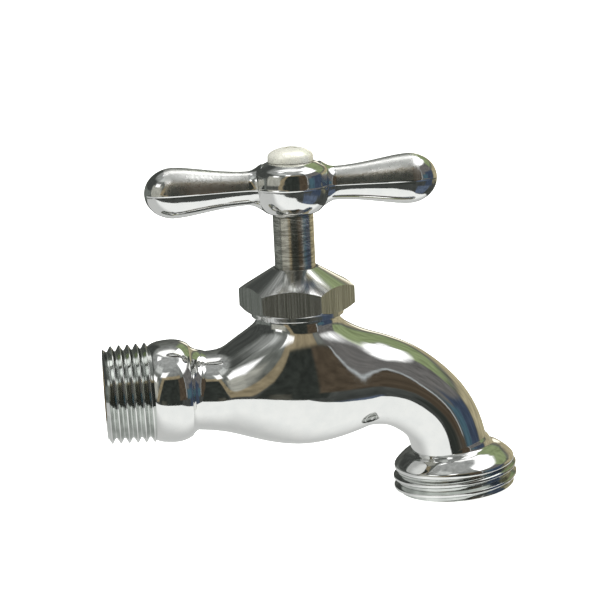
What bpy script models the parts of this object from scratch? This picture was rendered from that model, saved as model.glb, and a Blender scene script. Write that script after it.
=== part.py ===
"""Hose bib: a cast angle-spout tap with a tee handle, built as an assembly of separate pieces.

Frame: the origin is the centre of the inlet's end face, +X runs along the inlet towards the spout,
and +Z runs up the stem. Lengths are in millimetres until place() turns each piece into metres.
"""
import math

import bmesh
import bpy
import numpy as np
from mathutils import Matrix

MM = 0.001
MERGE = 1e-3

# Where things stand
STEM_X = 42.2
OUTLET_X = 75.27
OUTLET_Z = -22.1
OUTLET_TILT = math.radians(3.3)

# Inlet: half-inch taper pipe thread, then a rounded collar
INLET_PITCH = 1.814
INLET_CREST_R = 10.42
INLET_THREAD_DEPTH = 1.15
INLET_TAPER = 1 / 32
INLET_THREAD_END = 10.9
INLET_BORE_R = 6.4
COLLAR_START = 9.8
COLLAR_END = 22.0

# Outlet: three-quarter-inch garden hose thread
HOSE_PITCH = 2.209
HOSE_CREST_R = 13.49
HOSE_THREAD_DEPTH = 1.1
OUTLET_BORE_R = 10.0
OUTLET_END = 3.83

# Neck of the body, and the packing nut that screws on it
NECK_R = 9.0
NECK_THREAD_PITCH = 1.27
NECK_THREAD_R = 8.9
NECK_THREAD_DEPTH = 0.6
NECK_THREAD_BOTTOM = 14.7
NECK_TOP = 18.4
NECK_SHELF = 17.05
NECK_BORE_R = 7.1
SHELF_BORE_R = 7.45
SPIGOT_NECK_R = 8.2
NUT_ACROSS_FLATS = 21.6
NUT_TURN = math.radians(-12.5)
NUT_BOTTOM = 14.9
NUT_LAND_R = 5.0
NUT_TOP = 25.17
NUT_SHELF = 19.05
PACKING_BORE_R = 6.65
PACKING_TOP = 22.4
PACKING_R = 6.5

# Stem and the screw thread that lifts it
STEM_R = 4.35
STEM_HOLE_R = 4.5
STEM_FOOT = 4.9
STEM_SHOULDER = 11.7
STEM_TOP = 45.8
LIFT_LEAD = 2.1166
LIFT_THREAD_R = 6.85
LIFT_THREAD_DEPTH = 0.75
LIFT_CLEARANCE = 0.15
LIFT_THREAD_LOW = 6.5
LIFT_THREAD_HIGH = 14.2

# Seat, washer and jumper
BRIDGE_BOTTOM = -3.0
BRIDGE_TOP = -0.4
SEAT_R = 5.9
UNDER_SEAT_Z = -6.9
CHAMBER_R = 7.6
SEAT_ORIFICE_R = 4.2
SEAT_LIP = 0.6
WASHER_BOTTOM = 0.65
WASHER_TOP = 3.2
JUMPER_PLATE_R = 6.0
SPIGOT_R = 2.3
SPIGOT_TOP = 11.5
SPIGOT_BORE_R = 2.55
STUD_R = 1.5
GROOVE_R = 1.8
GROOVE_BOTTOM = 8.6
GROOVE_TOP = 9.4

# Handle
HANDLE_MIDDLE = 42.6
HUB_BOTTOM = 36.8
HUB_TOP = 47.7
ARM_FLATTENING = 0.84
ARM_END_R = 5.35
ARM_END_START = 25.0
ARM_END_LENGTH = 6.2
SOCKET_SIDE = 6.3
TANG_SIDE = 6.0
SCREW_R = 1.95
SCREW_HEAD_R = 4.82
SCREW_RIM_HEIGHT = 1.05
SCREW_DOME_HEIGHT = 2.05

# The ratio of an octagonal cage's smooth limit to its corner radius
OCTAGON_LIMIT = (2 + math.cos(math.pi / 4)) / 3


def clear_scene():
    for thing in list(bpy.data.objects):
        bpy.data.objects.remove(thing)


def material(name, colour, metallic, roughness):
    made = bpy.data.materials.new(name)
    made.use_nodes = True
    shader = made.node_tree.nodes["Principled BSDF"]
    shader.inputs["Base Color"].default_value = (*colour, 1.0)
    shader.inputs["Metallic"].default_value = metallic
    shader.inputs["Roughness"].default_value = roughness
    return made


def merge_coincident(bm):
    bmesh.ops.remove_doubles(bm, verts=bm.verts, dist=MERGE)
    bmesh.ops.dissolve_degenerate(bm, edges=bm.edges, dist=MERGE)


def mesh_object(name, bm):
    """Turn a bmesh into an object whose faces all point outwards."""
    merge_coincident(bm)
    bmesh.ops.recalc_face_normals(bm, faces=bm.faces)
    mesh = bpy.data.meshes.new(name)
    bm.to_mesh(mesh)
    bm.free()
    made = bpy.data.objects.new(name, mesh)
    bpy.context.collection.objects.link(made)
    return made


def evaluated_mesh(thing):
    bpy.context.view_layer.update()
    return bpy.data.meshes.new_from_object(thing.evaluated_get(bpy.context.evaluated_depsgraph_get()))


def combine(target, tool, operation):
    """Apply one exact Boolean to the target and remove the tool."""
    modifier = target.modifiers.new(operation, "BOOLEAN")
    modifier.operation = operation
    modifier.solver = "EXACT"
    modifier.object = tool
    result = evaluated_mesh(target)
    target.modifiers.clear()
    bm = bmesh.new()
    bm.from_mesh(result)
    merge_coincident(bm)
    bm.to_mesh(result)
    bm.free()
    target.data = result
    bpy.data.objects.remove(tool)


def turn(thing, matrix):
    thing.data.transform(matrix)
    return thing


def rings_to_object(name, rings, closed_along=False):
    """Skin a row of rings of points; the ends get caps unless the row closes on itself."""
    bm = bmesh.new()
    made = [[bm.verts.new(point) for point in ring] for ring in rings]
    count = len(made[0])
    pairs = list(zip(made, made[1:]))
    if closed_along:
        pairs.append((made[-1], made[0]))
    for low, high in pairs:
        for k in range(count):
            following = (k + 1) % count
            bm.faces.new((low[k], low[following], high[following], high[k]))
    if not closed_along:
        bm.faces.new(made[0])
        bm.faces.new(made[-1])
    return mesh_object(name, bm)


def turned(name, outline, sides=40, closed=False):
    """Turn an outline of (radius, height) points about the Z axis."""
    angles = [2 * math.pi * k / sides for k in range(sides)]
    rings = []
    for radius, height in outline:
        rings.append([(radius * math.cos(a), radius * math.sin(a), height) for a in angles])
    return rings_to_object(name, rings, closed)


def pipe(name, inner, outer, bottom, top, sides=40):
    outline = [(inner, bottom), (outer, bottom), (outer, top), (inner, top)]
    return turned(name, outline, sides, closed=True)


def rod(name, radius, bottom, top, sides=40):
    return turned(name, [(radius, bottom), (radius, top)], sides)


def prism(name, across_flats, corners, bottom, top, turned_by=0.0):
    """A regular prism with a flat facing -Y when it isn't turned."""
    radius = across_flats / 2 / math.cos(math.pi / corners)
    start = turned_by - math.pi / 2 + math.pi / corners
    angles = [start + 2 * math.pi * k / corners for k in range(corners)]
    rings = [[(radius * math.cos(a), radius * math.sin(a), z) for a in angles] for z in (bottom, top)]
    return rings_to_object(name, rings)


def arc(centre, radius, start, end, steps):
    """Points on an arc in an outline's plane, angles in degrees."""
    angles = np.radians(np.linspace(start, end, steps + 1))
    return [(centre[0] + radius * math.cos(a), centre[1] + radius * math.sin(a)) for a in angles]


def threaded_rod(name, pitch, crest_r, depth, bottom, top, sides, crest=0.22, root=0.28, phase=0.0,
                 taper=0.0, chamfer=0.0):
    """A solid rod with a right-hand thread from bottom to top.

    crest and root are the widths of the flat crest and root as shares of the pitch, and phase is
    the height of a crest on the +X side. taper is the growth of the radius with height, and
    chamfer bevels both ends by that much.
    """
    corners = ((crest / 2, 1.0), (0.5 - root / 2, 0.0), (0.5 + root / 2, 0.0), (1 - crest / 2, 1.0))
    first = math.floor((bottom - phase) / pitch) - 2
    last = math.ceil((top - phase) / pitch) + 1
    shares = [turn_no + share for turn_no in range(first, last) for share, _ in corners]
    levels = [level for _ in range(first, last) for _, level in corners]
    columns = []
    for k in range(sides + 1):
        heights = [phase + pitch * (share + k / sides) for share in shares]
        angle = 2 * math.pi * k / sides
        column = []
        for z in [bottom] + [min(max(z, bottom), top) for z in heights] + [top]:
            level = float(np.interp(z, heights, levels))
            radius = crest_r + taper * z - depth * (1 - level)
            end_gap = min(z - bottom, top - z)
            radius = min(radius, crest_r + taper * z - chamfer + end_gap)
            column.append((radius * math.cos(angle), radius * math.sin(angle), z))
        columns.append(column)
    bm = bmesh.new()
    grid = [[bm.verts.new(point) for point in column] for column in columns]
    for near, far in zip(grid, grid[1:]):
        for j in range(len(near) - 1):
            bm.faces.new((near[j], far[j], far[j + 1], near[j + 1]))
    for end in (0, -1):
        centre = bm.verts.new((0, 0, columns[0][end][2]))
        for near, far in zip(grid, grid[1:]):
            bm.faces.new((centre, near[end], far[end]))
    return mesh_object(name, bm)


def spine_frames(stations):
    """Position, up direction and radius along a spine in the XZ plane."""
    points = np.array([(x, z) for x, z, _ in stations], float)
    along = np.gradient(points, axis=0)
    along /= np.linalg.norm(along, axis=1)[:, None]
    return [((x, 0, z), (-t[1], 0, t[0]), r) for (x, z, r), t in zip(stations, along)]


def spine_ring(frame, sides, scale=1.0):
    (x, _, z), (up_x, _, up_z), radius = frame
    ring = []
    for k in range(sides):
        angle = math.pi / 2 - 2 * math.pi * k / sides
        lift = scale * radius * math.sin(angle)
        ring.append((x + up_x * lift, -scale * radius * math.cos(angle), z + up_z * lift))
    return ring


def swept(name, stations, sides=20):
    """A round passage through (x, z, radius) stations."""
    return rings_to_object(name, [spine_ring(frame, sides) for frame in spine_frames(stations)])


def spline_controls(values):
    """Cage values whose smooth limit passes through the values given."""
    count = len(values)
    system = np.eye(count)
    for k in range(1, count - 1):
        system[k, k - 1:k + 2] = np.array((1, 4, 1)) / 6
    return np.linalg.solve(system, np.asarray(values, float))


# Body, from the inlet's collar round to the spout: x, z and outside radius along the middle line
BODY_STATIONS = (
    (15.0, -0.2, 8.3), (20.0, -0.4, 8.45), (25.0, -0.65, 9.0), (30.2, -0.35, 10.95),
    (STEM_X, -0.1, 13.5), (54.2, -0.45, 11.3), (59.0, -0.95, 10.05), (63.4, -2.4, 9.3),
    (67.2, -4.8, 8.75), (70.8, -8.2, 8.4), (73.0, -12.0, 8.3), (74.1, -16.0, 8.35), (74.9, -20.5, 8.5),
)
NECK_STATIONS = (3, 4, 5)


def casting():
    """The smooth outside of the cast body: a tube along the spine with the neck growing out of it."""
    table = np.column_stack([spline_controls(column) for column in zip(*BODY_STATIONS)])
    frames = spine_frames([tuple(row) for row in table])
    bm = bmesh.new()
    crease = bm.edges.layers.float.new("crease_edge")
    rings = []
    for frame in frames:
        rings.append([bm.verts.new(point) for point in spine_ring(frame, 8, 1 / OCTAGON_LIMIT)])
    first, middle, last = NECK_STATIONS
    for index, (low, high) in enumerate(zip(rings, rings[1:])):
        for k in range(8):
            if index in (first, middle) and k in (0, 7):
                continue
            bm.faces.new((low[k], low[(k + 1) % 8], high[(k + 1) % 8], high[k]))
    loop = [rings[last][0], rings[last][1], rings[middle][1], rings[first][1],
            rings[first][0], rings[first][7], rings[middle][7], rings[last][7]]
    neck_cage = ((9.75, 13.2), (NECK_R / OCTAGON_LIMIT, 15.2), (NECK_R / OCTAGON_LIMIT, 16.5))
    for radius, height in neck_cage:
        upper = []
        for k in range(8):
            angle = -2 * math.pi * k / 8
            place_x = STEM_X + radius * math.cos(angle)
            upper.append(bm.verts.new((place_x, radius * math.sin(angle), height)))
        for k in range(8):
            bm.faces.new((loop[k], loop[(k + 1) % 8], upper[(k + 1) % 8], upper[k]))
        loop = upper
    bm.verts.remove(rings[middle][0])
    for ring in (rings[0], rings[-1], loop):
        bm.faces.new(ring)
        for k in range(8):
            bm.edges.get((ring[k], ring[(k + 1) % 8]))[crease] = 1.0
    cage = mesh_object("casting", bm)
    smooth = cage.modifiers.new("smooth", "SUBSURF")
    smooth.levels = 2
    smooth.render_levels = 2
    result = evaluated_mesh(cage)
    cage.modifiers.clear()
    cage.data = result
    return cage


def along_inlet():
    """Turns a piece made about +Z so that it runs along +X from the origin."""
    return Matrix.Rotation(math.pi / 2, 4, "Y")


def along_outlet():
    """Turns a piece made about +Z so that it runs down the tilted outlet axis."""
    return (Matrix.Translation((OUTLET_X, 0, OUTLET_Z))
            @ Matrix.Rotation(math.pi - OUTLET_TILT, 4, "Y"))


def on_stem():
    return Matrix.Translation((STEM_X, 0, 0))


def inlet_collar():
    """A barrel-shaped bead behind the inlet's thread, running down into the body's tube."""
    outline = [(8.2, COLLAR_START), (9.95, COLLAR_START), (10.35, 10.4), (10.7, 11.3), (10.93, 12.5),
               (11.05, 14.2), (10.97, 15.6), (10.65, 16.9)]
    outline += arc((12.2, 21.3), 3.85, 236, 186, 5)
    outline += [(8.0, COLLAR_END)]
    return turned("collar", outline, 48)


def inlet_thread():
    return threaded_rod("inlet_thread", INLET_PITCH, INLET_CREST_R, INLET_THREAD_DEPTH, 0.0,
                        INLET_THREAD_END, 36, crest=0.1, root=0.14, phase=1.0, taper=INLET_TAPER,
                        chamfer=0.75)


def outlet_flange():
    outline = [(7.4, -7.5), (8.2, -6.4), (8.6, -5.3), (9.9, -4.8), (10.8, -4.35), (12.0, -3.35),
               (12.9, -2.4), (13.12, -1.8), (12.95, -1.2), (12.2, -0.85)]
    return turned("flange", outline, 48)


def outlet_thread():
    return threaded_rod("outlet_thread", HOSE_PITCH, HOSE_CREST_R, HOSE_THREAD_DEPTH, -1.6,
                        OUTLET_END, 48, crest=0.24, root=0.3, phase=HOSE_PITCH / 4, chamfer=0.9)


def neck_thread():
    return threaded_rod("neck_thread", NECK_THREAD_PITCH, NECK_THREAD_R, NECK_THREAD_DEPTH,
                        NECK_THREAD_BOTTOM, NECK_TOP, 28, crest=0.24, root=0.3, chamfer=0.4)


def inlet_passage():
    """The way in, which dips under the bridge and comes up through the seat."""
    stations = ((18.0, 0.0, 6.2), (24.0, -0.5, 6.0), (29.0, -3.0, 5.1), (33.5, -5.8, 4.5),
                (38.0, UNDER_SEAT_Z, 4.5), (STEM_X, UNDER_SEAT_Z, 4.6), (45.2, UNDER_SEAT_Z, 3.6))
    passage = swept("inlet_passage", stations)
    combine(passage, turn(rod("inlet_bore", INLET_BORE_R, -1.0, 20.0, 32), along_inlet()), "UNION")
    riser = rod("riser", SEAT_ORIFICE_R, UNDER_SEAT_Z, BRIDGE_BOTTOM + 0.5, 32)
    combine(passage, turn(riser, on_stem()), "UNION")
    return passage


def outlet_passage():
    """The chamber over the seat, and the way from it round the spout."""
    stations = ((STEM_X + 1.0, 3.4, 2.6), (46.0, 3.2, 4.2), (50.5, 2.5, 5.6), (55.0, 1.0, 6.6),
                (59.5, -0.8, 7.0), (64.0, -2.5, 6.9), (67.8, -4.9, 6.5), (71.0, -8.2, 6.3),
                (73.2, -12.0, 6.2), (74.3, -16.0, 6.3), (74.9, -19.5, 8.6))
    passage = swept("outlet_passage", stations)
    bore = [(8.0, -3.4), (OUTLET_BORE_R, -1.6), (OUTLET_BORE_R, OUTLET_END + 1)]
    combine(passage, turn(turned("outlet_bore", bore, 40), along_outlet()), "UNION")
    chamber = rod("chamber", CHAMBER_R, BRIDGE_TOP, LIFT_THREAD_LOW, 40)
    combine(passage, turn(chamber, on_stem()), "UNION")
    return passage


def stem_bore():
    """The bore down the neck: packing shelf, relief and the female lifting thread."""
    cutter = threaded_rod("lift_thread", LIFT_LEAD, LIFT_THREAD_R + LIFT_CLEARANCE, LIFT_THREAD_DEPTH,
                          LIFT_THREAD_LOW - 0.2, LIFT_THREAD_HIGH + 0.2, 32, crest=0.42, root=0.22)
    combine(cutter, rod("relief", NECK_BORE_R, LIFT_THREAD_HIGH, NECK_SHELF + 0.1), "UNION")
    combine(cutter, rod("shelf", SHELF_BORE_R, NECK_SHELF, NECK_TOP + 1), "UNION")
    return turn(cutter, on_stem())


def valve_body():
    """The casting with its collar, flange and three threads, bored for water and stem."""
    body = casting()
    body.name = "valve_body"
    combine(body, turn(inlet_collar(), along_inlet()), "UNION")
    combine(body, turn(inlet_thread(), along_inlet()), "UNION")
    combine(body, turn(outlet_flange(), along_outlet()), "UNION")
    combine(body, turn(outlet_thread(), along_outlet()), "UNION")
    above_neck = rod("above_neck", NECK_R + 3, NECK_THREAD_BOTTOM, NECK_TOP + 2)
    combine(body, turn(above_neck, on_stem()), "DIFFERENCE")
    neck_root = rod("neck_root", SPIGOT_NECK_R, LIFT_THREAD_HIGH - 2, NECK_THREAD_BOTTOM + 0.2)
    combine(body, turn(neck_root, on_stem()), "UNION")
    combine(body, turn(neck_thread(), on_stem()), "UNION")
    combine(body, inlet_passage(), "DIFFERENCE")
    combine(body, outlet_passage(), "DIFFERENCE")
    combine(body, stem_bore(), "DIFFERENCE")
    seat_hole = rod("seat_hole", SEAT_R + 0.1, BRIDGE_BOTTOM, BRIDGE_TOP + 1)
    combine(body, turn(seat_hole, on_stem()), "DIFFERENCE")
    return body


def valve_seat():
    """A screwed-in ring whose rounded lip the washer closes on."""
    outline = [(SEAT_ORIFICE_R, BRIDGE_BOTTOM + 0.1), (SEAT_R, BRIDGE_BOTTOM + 0.1),
               (SEAT_R, BRIDGE_TOP), (5.3, BRIDGE_TOP), (5.3, 0.25), (5.0, SEAT_LIP), (4.6, SEAT_LIP),
               (SEAT_ORIFICE_R, 0.2)]
    return turned("valve_seat", outline, 32, closed=True)


def seat_washer():
    return pipe("seat_washer", STUD_R + 0.15, 5.7, WASHER_BOTTOM, WASHER_TOP, 32)


def washer_nut():
    nut = prism("washer_nut", 5.0, 6, -1.3, WASHER_BOTTOM - 0.05)
    combine(nut, rod("nut_hole", STUD_R + 0.1, -2.0, 2.0, 24), "DIFFERENCE")
    return nut


def jumper():
    """The plate that carries the washer, with its stud below and its spigot above."""
    plate_under = WASHER_TOP + 0.05
    outline = [(1.2, -1.8), (STUD_R, -1.5), (STUD_R, plate_under), (JUMPER_PLATE_R, plate_under),
               (JUMPER_PLATE_R, 4.5), (5.7, 4.8), (SPIGOT_R, 4.8), (SPIGOT_R, GROOVE_BOTTOM),
               (GROOVE_R, GROOVE_BOTTOM), (GROOVE_R, GROOVE_TOP), (SPIGOT_R, GROOVE_TOP),
               (SPIGOT_R, 11.2), (2.0, SPIGOT_TOP)]
    return turned("jumper", outline, 32)


def jumper_clip():
    """A split spring ring that holds the spigot up in the stem's foot."""
    ring = pipe("jumper_clip", GROOVE_R + 0.1, SPIGOT_BORE_R - 0.05, GROOVE_BOTTOM + 0.1,
                GROOVE_TOP - 0.1, 32)
    gap = rings_to_object("gap", [[(x, y, z) for x, y in ((0, -0.7), (4, -0.7), (4, 0.7), (0, 0.7))]
                                  for z in (8.0, 10.0)])
    combine(ring, gap, "DIFFERENCE")
    return ring


def stem():
    """Threaded foot, plain journal and square tang, bored for the spigot and the handle screw."""
    body = threaded_rod("stem", LIFT_LEAD, LIFT_THREAD_R, LIFT_THREAD_DEPTH, STEM_FOOT, STEM_SHOULDER,
                        32, crest=0.28, root=0.36, chamfer=0.75)
    combine(body, rod("journal", STEM_R, STEM_SHOULDER - 1, HUB_BOTTOM - 0.15), "UNION")
    tang = prism("tang", TANG_SIDE, 4, HUB_BOTTOM - 1, STEM_TOP)
    combine(tang, rod("tang_corners", STEM_R - 0.06, 30.0, 50.0), "INTERSECT")
    combine(body, tang, "UNION")
    combine(body, rod("spigot_bore", SPIGOT_BORE_R, 4.0, SPIGOT_TOP + 0.4, 24), "DIFFERENCE")
    combine(body, rod("screw_bore", SCREW_R + 0.15, 38.4, 47.0, 24), "DIFFERENCE")
    return body


def packing_nut():
    """A hexagon with a long cone on top and a washer face below, hollow for neck and packing."""
    corner_r = NUT_ACROSS_FLATS / 2 / math.cos(math.pi / 6)
    outline = [(9.9, NUT_BOTTOM), (9.9, 16.1), (10.75, 16.1), (corner_r, 17.05), (corner_r, 20.7),
               (NUT_LAND_R, NUT_TOP)]
    nut = turned("packing_nut", outline, 48)
    combine(nut, prism("hexagon", NUT_ACROSS_FLATS, 6, 14.0, 26.0, NUT_TURN), "INTERSECT")
    hollow = threaded_rod("nut_thread", NECK_THREAD_PITCH, NECK_THREAD_R + 0.2, NECK_THREAD_DEPTH + 0.05,
                          NUT_BOTTOM - 0.3, NUT_SHELF, 28, crest=0.4, root=0.18)
    combine(hollow, rod("packing_bore", PACKING_BORE_R, NUT_SHELF - 1, PACKING_TOP), "UNION")
    combine(hollow, rod("stem_hole", STEM_HOLE_R, PACKING_TOP - 1, 27.0), "UNION")
    combine(nut, hollow, "DIFFERENCE")
    return nut


def hub_outline():
    lower = [(4.9, HUB_BOTTOM), (5.9, 37.3), (6.85, 38.3), (7.6, 39.6)]
    upper = [(7.95, 45.7), (7.1, 46.7), (5.1, HUB_TOP)]
    return lower + [(8.05, 41.0), (8.3, HANDLE_MIDDLE), (8.25, 44.2)] + upper


def handle_arm(side):
    """A club-shaped arm: slim at the hub, fat near its rounded end."""
    outline = [(3.8, 0.0), (3.65, 7.5), (3.6, 9.5), (3.75, 12.5), (4.15, 16.0), (4.7, 19.5),
               (5.15, 22.5), (ARM_END_R, ARM_END_START)]
    for a in np.radians((17, 34, 51, 66, 79)):
        outline.append((ARM_END_R * math.cos(a), ARM_END_START + ARM_END_LENGTH * math.sin(a)))
    arm = turned("arm", outline, 28)
    turn(arm, Matrix.Diagonal((1, ARM_FLATTENING, 1, 1)))
    turn(arm, Matrix.Rotation(side * math.pi / 2, 4, "Y"))
    return turn(arm, Matrix.Translation((0, 0, HANDLE_MIDDLE)))


def handle():
    grip = turned("handle", hub_outline(), 40)
    for side in (-1, 1):
        combine(grip, handle_arm(side), "UNION")
    combine(grip, prism("socket", SOCKET_SIDE, 4, 36.0, STEM_TOP + 0.4), "DIFFERENCE")
    combine(grip, rod("screw_hole", SCREW_R + 0.35, 45.0, 49.0, 24), "DIFFERENCE")
    return grip


def handle_screw():
    """A domed machine screw with a cross recess."""
    under = HUB_TOP + 0.05
    outline = [(1.5, 39.2), (SCREW_R, 39.7), (SCREW_R, under), (SCREW_HEAD_R - 0.1, under),
               (SCREW_HEAD_R, under + 0.15), (SCREW_HEAD_R, under + SCREW_RIM_HEIGHT)]
    for a in np.radians((18, 36, 54, 70, 83)):
        outline.append((SCREW_HEAD_R * math.cos(a),
                        under + SCREW_RIM_HEIGHT + SCREW_DOME_HEIGHT * math.sin(a)))
    screw = turned("handle_screw", outline, 32)
    slot_end = ((-2.3, -0.42), (2.3, -0.42), (2.3, 0.42), (-2.3, 0.42))
    for angle in (0, math.pi / 2):
        bar = rings_to_object("recess", [[(x * size, y * size, z) for x, y in slot_end]
                                         for z, size in ((under + 1.7, 0.35), (under + 4.0, 1.15))])
        combine(screw, turn(bar, Matrix.Rotation(angle + math.pi / 4, 4, "Z")), "DIFFERENCE")
    return screw


def place(piece, surface, parent=None):
    """Name the piece's mesh, turn it into metres, shade it and give it its material."""
    piece.data.name = piece.name
    piece.data.transform(Matrix.Scale(MM, 4))
    piece.data.materials.clear()
    piece.data.materials.append(surface)
    piece.data.shade_smooth()
    piece.data.set_sharp_from_angle(angle=math.radians(32))
    if parent is not None:
        piece.parent = parent


def build():
    clear_scene()
    chrome = material("chrome_plate", (0.78, 0.78, 0.77), 1.0, 0.06)
    turned_steel = material("turned_stem", (0.42, 0.40, 0.37), 1.0, 0.28)
    pale_nickel = material("pale_nickel", (0.86, 0.84, 0.70), 1.0, 0.16)
    brass = material("plain_brass", (0.75, 0.58, 0.30), 1.0, 0.35)
    rubber = material("black_rubber", (0.03, 0.03, 0.03), 0.0, 0.6)
    graphite = material("graphite_packing", (0.09, 0.09, 0.09), 0.0, 0.75)
    fibre = material("red_fibre", (0.42, 0.10, 0.06), 0.0, 0.8)

    stem_axis = bpy.data.objects.new("stem_axis", None)
    stem_axis.location = (STEM_X * MM, 0, 0)
    bpy.context.collection.objects.link(stem_axis)

    place(valve_body(), chrome)
    place(valve_seat(), brass, stem_axis)
    place(seat_washer(), rubber, stem_axis)
    place(washer_nut(), brass, stem_axis)
    place(jumper(), brass, stem_axis)
    place(jumper_clip(), brass, stem_axis)
    place(stem(), turned_steel, stem_axis)
    place(pipe("packing_washer", STEM_HOLE_R, 7.3, 17.1, 17.9), brass, stem_axis)
    place(pipe("packing_ring_lower", STEM_HOLE_R, PACKING_R, 17.95, 19.5), graphite, stem_axis)
    place(pipe("packing_ring_upper", STEM_HOLE_R, PACKING_R, 19.55, 21.1), graphite, stem_axis)
    place(pipe("gland_follower", STEM_HOLE_R, PACKING_R, 21.15, 22.35), brass, stem_axis)
    place(pipe("neck_gasket", 7.0, 8.2, NECK_TOP + 0.05, NUT_SHELF - 0.05), fibre, stem_axis)
    place(packing_nut(), chrome, stem_axis)
    place(handle(), chrome, stem_axis)
    place(handle_screw(), pale_nickel, stem_axis)


build()
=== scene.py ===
"""Looks for the hose bib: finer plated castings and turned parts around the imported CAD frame.

Lengths in the modelling functions are in millimetres, in the same frame as the CAD: the origin is the
centre of the inlet's end face, +X runs along the inlet and +Z up the stem. settle() turns a finished
piece into metres.
"""
import math

import bmesh
import bpy
import numpy as np
from mathutils import Matrix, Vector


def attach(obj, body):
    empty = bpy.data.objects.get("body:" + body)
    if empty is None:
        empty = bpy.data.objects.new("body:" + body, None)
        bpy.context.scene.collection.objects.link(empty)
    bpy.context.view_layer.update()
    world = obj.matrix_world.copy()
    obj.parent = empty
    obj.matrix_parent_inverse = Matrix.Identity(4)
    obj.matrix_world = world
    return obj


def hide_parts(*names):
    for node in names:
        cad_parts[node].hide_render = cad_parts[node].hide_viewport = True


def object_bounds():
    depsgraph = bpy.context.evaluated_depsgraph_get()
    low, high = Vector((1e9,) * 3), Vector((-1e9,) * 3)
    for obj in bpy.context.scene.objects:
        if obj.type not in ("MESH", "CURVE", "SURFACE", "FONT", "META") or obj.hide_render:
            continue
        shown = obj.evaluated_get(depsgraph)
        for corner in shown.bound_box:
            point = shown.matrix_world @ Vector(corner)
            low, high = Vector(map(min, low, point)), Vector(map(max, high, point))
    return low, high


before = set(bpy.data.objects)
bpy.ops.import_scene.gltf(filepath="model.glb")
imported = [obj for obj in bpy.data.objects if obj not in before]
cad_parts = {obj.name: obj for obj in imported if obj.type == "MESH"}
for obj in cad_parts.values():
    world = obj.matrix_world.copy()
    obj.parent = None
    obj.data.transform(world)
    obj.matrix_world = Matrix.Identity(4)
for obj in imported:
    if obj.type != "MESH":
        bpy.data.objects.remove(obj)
CAD_LOW, CAD_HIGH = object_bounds()

MM = 0.001
MERGE = 1e-4

# Where things stand, in millimetres
STEM_X = 42.2
OUTLET_X = 75.27
OUTLET_Z = -22.1
OUTLET_TILT = math.radians(3.3)

# Inlet: half-inch taper pipe thread
INLET_PITCH = 1.814
INLET_CREST_R = 10.42
INLET_THREAD_DEPTH = 1.15
INLET_TAPER = 1 / 32
INLET_THREAD_END = 10.9
INLET_BORE_R = 6.4
COLLAR_START = 9.8
COLLAR_END = 22.0

# Outlet: three-quarter-inch garden hose thread
HOSE_PITCH = 2.209
HOSE_CREST_R = 13.49
HOSE_THREAD_DEPTH = 1.1
OUTLET_BORE_R = 10.0
OUTLET_END = 3.83

# Water way: under the bridge, up through the seat and over the chamber
UNDER_SEAT_Z = -6.9
RISER_R = 4.2
BRIDGE_BOTTOM = -3.0
BRIDGE_TOP = -0.4
SEAT_HOLE_R = 6.0
CHAMBER_R = 7.6
CHAMBER_TOP = 6.5

# Neck of the body, and the packing nut that screws on it
NECK_R = 9.0
NECK_PITCH = 1.27
NECK_THREAD_R = 8.9
NECK_THREAD_DEPTH = 0.6
NECK_THREAD_BOTTOM = 14.7
NECK_TOP = 18.4
NECK_SHELF = 17.05
NECK_BORE_R = 7.1
SHELF_BORE_R = 7.45
NUT_ACROSS_FLATS = 21.6
NUT_TURN = math.radians(-12.5)
NUT_BOTTOM = 14.9
NUT_RIM_R = 9.9
NUT_RIM_TOP = 16.1
HEXAGON_BOTTOM = 17.05
HEXAGON_TOP = 20.7
NUT_TOP = 25.17
NUT_SHELF = 19.05
PACKING_BORE_R = 6.65
PACKING_TOP = 22.4

# Stem: lifting thread, journal with tool rings, square tang
STEM_R = 4.35
STEM_HOLE_R = 4.5
LIFT_LEAD = 2.1166
LIFT_DEPTH = 0.75
STEM_FOOT = 4.9
STEM_SHOULDER = 11.7
STEM_TOP = 45.8
RING_BOTTOM = 14.2
RING_PITCH = 0.3
RING_DEPTH = 0.045
TANG_SIDE = 6.0
SPIGOT_BORE_R = 2.55
SCREW_BORE_R = 2.1

# Handle and its screw
HANDLE_MIDDLE = 42.6
HUB_BOTTOM = 36.8
HUB_TOP = 47.7
HUB_R = 8.3
SOCKET_SIDE = 6.3
ARM_END_R = 5.35
ARM_END_START = 25.0
ARM_END_LENGTH = 6.2
ARM_FLATTENING = 0.84
ROUGH_START = 9.2
ROUGH_END = 27.0
RIDGE = 0.11
RIDGE_WIDTH = 0.16
SCREW_R = 1.95
SCREW_HEAD_R = 4.82
SCREW_RIM_HEIGHT = 1.05
SCREW_DOME_HEIGHT = 2.05

# The ratio of an octagonal cage's smooth limit to its corner radius
OCTAGON_LIMIT = (2 + math.cos(math.pi / 4)) / 3


# ---------------------------------------------------------------- modelling helpers

def mesh_object(name, bm):
    """Turn a bmesh into an object whose faces all point outwards."""
    bmesh.ops.remove_doubles(bm, verts=bm.verts, dist=MERGE)
    bmesh.ops.dissolve_degenerate(bm, edges=bm.edges, dist=MERGE)
    bmesh.ops.recalc_face_normals(bm, faces=bm.faces)
    mesh = bpy.data.meshes.new(name)
    bm.to_mesh(mesh)
    bm.free()
    made = bpy.data.objects.new(name, mesh)
    bpy.context.collection.objects.link(made)
    return made


def apply_modifiers(thing):
    """Replace the mesh by what its modifiers make of it."""
    bpy.context.view_layer.update()
    evaluated = thing.evaluated_get(bpy.context.evaluated_depsgraph_get())
    result = bpy.data.meshes.new_from_object(evaluated)
    thing.modifiers.clear()
    thing.data = result


def combine(target, tool, operation):
    """Apply one Boolean to the target and remove the tool."""
    modifier = target.modifiers.new(operation, "BOOLEAN")
    modifier.operation = operation
    modifier.solver = "MANIFOLD"
    modifier.material_mode = "TRANSFER"
    modifier.object = tool
    apply_modifiers(target)
    bpy.data.objects.remove(tool)
    return target


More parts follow.
